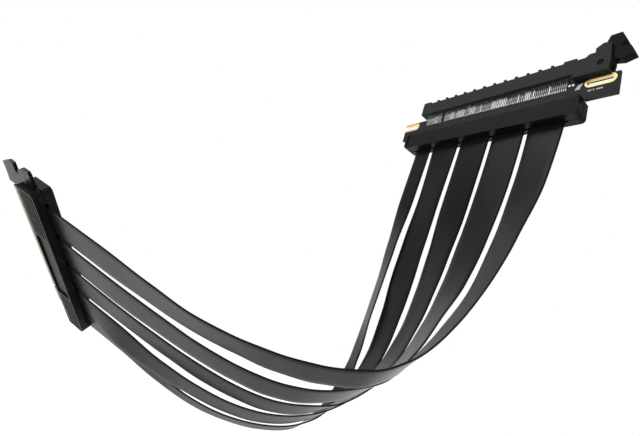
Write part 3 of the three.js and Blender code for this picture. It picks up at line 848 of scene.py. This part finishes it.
springs = lay_row("mouth_springs", [spring("spring", -1), spring("spring", 1)], gold_plate)

# %% [markdown]
# The board also carries a few small things beside the slot: two tinned holes, and marks in white ink. The
# marks here are plain shapes, a slanted patch and a few bars, raised by the thickness of the ink.

# %% Ink marks and tinned holes
INK = 0.03 * MM
FRONT = -HALF_BOARD
HOLE_X = (84.3, 85.9)
HOLE_Z = -1.7
HOLE_RADIUS = 0.6


def ink_finish():
    ink = Finish("white_ink", specular=0.3)
    place = ink.place()
    worn = ink.noise(place, 0.5 * MM, detail=4)
    ink.set("Base Color", ink.mix((0.52, 0.53, 0.52), (0.80, 0.80, 0.78), worn))
    ink.set("Roughness", 0.5 + 0.2 * worn)
    return ink.material


def slabs(name, outlines, finish):
    """Thin raised shapes on the slot board's front. Each outline is a list of X and Z in millimetres."""
    made = bmesh.new()
    for points in outlines:
        near = [made.verts.new((x * MM, FRONT - INK, z * MM)) for x, z in points]
        far = [made.verts.new((x * MM, FRONT + INK / 2, z * MM)) for x, z in points]
        made.faces.new(near)
        made.faces.new(far[::-1])
        for i in range(len(points)):
            j = (i + 1) % len(points)
            made.faces.new((near[i], far[i], far[j], near[j]))
    bmesh.ops.recalc_face_normals(made, faces=made.faces)
    mesh = mesh_from(made, name)
    mesh.transform(SLOT)
    mesh.materials.append(finish)
    piece = show(name, mesh)
    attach(piece, BODY)
    return piece


def rectangle(x, z, width, height):
    return [(x, z), (x + width, z), (x + width, z + height), (x, z + height)]


MARKS = [
    [(87.0, -5.2), (89.2, -5.2), (90.6, -2.0), (88.2, -2.6)],
    rectangle(93.0, -7.6, 1.6, 0.7), rectangle(95.1, -7.6, 0.7, 0.7), rectangle(96.6, -7.6, 2.8, 0.7),
]
marks = slabs("ink_marks", MARKS, ink_finish())
ROUND = np.linspace(0, 2 * math.pi, 16, endpoint=False)
HOLES = [[(x + HOLE_RADIUS * math.cos(a), HOLE_Z + HOLE_RADIUS * math.sin(a)) for a in ROUND]
         for x in HOLE_X]
holes = slabs("tinned_holes", HOLES, solder_tin)
print("marks:", len(MARKS), "and tinned holes:", len(HOLES))

# %% [markdown]
# The studio is a pale floor and a white room. The room is plain white where the camera looks at it and softer
# where it only lights things, so black film keeps its depth. Black plastic gets its greys from what it
# mirrors, and in the photo the faces that look back to the left are grey while those that look to the right
# are almost black. So what a surface mirrors is bright on one side of the room and fades to the other.

# %% Floor and world
FLOOR_DROP = 0.11
FLOOR_SIZE = 8.0
PAPER = (0.85, 0.85, 0.85, 1)
FLOOR_GLOW = 1.5
FLOOR_SEEN = 0.64
FLOOR_MIRROR_LOW = 0.12
FLOOR_MIRROR_START = 0.05
FLOOR_MIRROR_REACH = 0.45
ROOM_LIGHT = 0.55
BRIGHT_SIDE = (-0.88, 0.47, 0.0)
MIRROR_LOW = 0.10
MIRROR_RISE = 1.5
MIRROR_FADE = 3


def math_node(tree, operation, first, second):
    made = tree.nodes.new("ShaderNodeMath")
    made.operation = operation
    for socket, value in zip(made.inputs, (first, second)):
        if isinstance(value, bpy.types.NodeSocket):
            tree.links.new(value, socket)
        else:
            socket.default_value = value
    return made.outputs[0]


def blend_shaders(tree, share, first, second):
    blend = tree.nodes.new("ShaderNodeMixShader")
    for socket, value in zip(blend.inputs, (share, first, second)):
        tree.links.new(value, socket)
    return blend.outputs[0]


def along_bright_side(tree, vector):
    """How far a vector goes towards the bright side of the room."""
    facing = tree.nodes.new("ShaderNodeVectorMath")
    facing.operation = "DOT_PRODUCT"
    facing.inputs[1].default_value = BRIGHT_SIDE
    tree.links.new(vector, facing.inputs[0])
    return facing.outputs["Value"]


def mirrored_strength(tree):
    """The room's brightness in a mirror, by the direction in which the mirrored ray flies."""
    place = tree.nodes.new("ShaderNodeTexCoord")
    half = math_node(tree, "MULTIPLY", along_bright_side(tree, place.outputs["Generated"]), 0.5)
    toward = math_node(tree, "MAXIMUM", math_node(tree, "ADD", half, 0.5), 0.0)
    fade = math_node(tree, "POWER", toward, MIRROR_FADE)
    return math_node(tree, "ADD", math_node(tree, "MULTIPLY", fade, MIRROR_RISE), MIRROR_LOW)


def background(tree, strength):
    made = tree.nodes.new("ShaderNodeBackground")
    made.inputs["Color"].default_value = (1, 1, 1, 1)
    if isinstance(strength, bpy.types.NodeSocket):
        tree.links.new(strength, made.inputs["Strength"])
    else:
        made.inputs["Strength"].default_value = strength
    return made.outputs[0]


def white_world():
    world = bpy.data.worlds.new("white_room")
    world.use_nodes = True
    tree = world.node_tree
    tree.nodes.clear()
    path = tree.nodes.new("ShaderNodeLightPath").outputs
    seen = math_node(tree, "MAXIMUM", path["Is Camera Ray"], path["Is Transmission Ray"])
    plain = blend_shaders(tree, seen, background(tree, ROOM_LIGHT), background(tree, 1.0))
    room = blend_shaders(tree, path["Is Glossy Ray"], plain, background(tree, mirrored_strength(tree)))
    out = tree.nodes.new("ShaderNodeOutputWorld")
    tree.links.new(room, out.inputs[0])
    bpy.context.scene.world = world


def pale_floor():
    """White paper where it lights things, a glow where it is seen, and a fading glow in mirrors."""
    mesh = bpy.data.meshes.new("floor")
    half, z = FLOOR_SIZE / 2, cad_box[0][2] - FLOOR_DROP
    mesh.from_pydata([(x * half, y * half, z) for x, y in CORNERS], [], [(0, 1, 2, 3)])
    floor = show("floor", mesh)
    material = bpy.data.materials.new("pale_floor")
    material.use_nodes = True
    tree = material.node_tree
    tree.nodes.clear()
    paper, glow = tree.nodes.new("ShaderNodeBsdfDiffuse"), tree.nodes.new("ShaderNodeEmission")
    paper.inputs["Color"].default_value = PAPER
    path = tree.nodes.new("ShaderNodeLightPath").outputs
    seen = math_node(tree, "MAXIMUM", path["Is Camera Ray"], path["Is Transmission Ray"])
    glow.inputs["Strength"].default_value = FLOOR_GLOW
    place = tree.nodes.new("ShaderNodeTexCoord")
    away = along_bright_side(tree, place.outputs["Object"])
    rise = math_node(tree, "SUBTRACT", away, FLOOR_MIRROR_START)
    rise = math_node(tree, "MULTIPLY", rise, (1 - FLOOR_MIRROR_LOW) / FLOOR_MIRROR_REACH)
    rise = math_node(tree, "MINIMUM", math_node(tree, "MAXIMUM", rise, 0.0), 1 - FLOOR_MIRROR_LOW)
    bright = math_node(tree, "ADD", rise, FLOOR_MIRROR_LOW)
    mirrored = math_node(tree, "MULTIPLY", path["Is Glossy Ray"], bright)
    share = math_node(tree, "ADD", math_node(tree, "MULTIPLY", seen, FLOOR_SEEN), mirrored)
    out = tree.nodes.new("ShaderNodeOutputMaterial")
    tree.links.new(blend_shaders(tree, share, paper.outputs[0], glow.outputs[0]), out.inputs[0])
    mesh.materials.append(material)


white_world()
pale_floor()
print("floor", FLOOR_DROP, "m under the lowest ribbon")

# %% [markdown]
# Two large soft lamps give the shapes their turn from light to dark: one high in front on the left, and a
# weaker one low on the right. They are wide, so that their mirror images have no hard edge.

# %% Lamps
AIM = Vector((-0.05, -0.09, -0.08))


def soft_lamp(name, place, size, power):
    data = bpy.data.lights.new(name, "AREA")
    data.shape = "SQUARE"
    data.size = size
    data.energy = power
    lamp = bpy.data.objects.new(name, data)
    lamp.location = place
    lamp.rotation_euler = (AIM - Vector(place)).to_track_quat("-Z", "Y").to_euler()
    bpy.context.scene.collection.objects.link(lamp)


soft_lamp("key_lamp", (-0.35, -0.75, 0.75), size=0.7, power=3)
soft_lamp("fill_lamp", (0.9, -0.35, 0.25), size=0.8, power=2)

scene = bpy.context.scene
scene.view_settings.view_transform = "Standard"
print("two lamps and a white room")
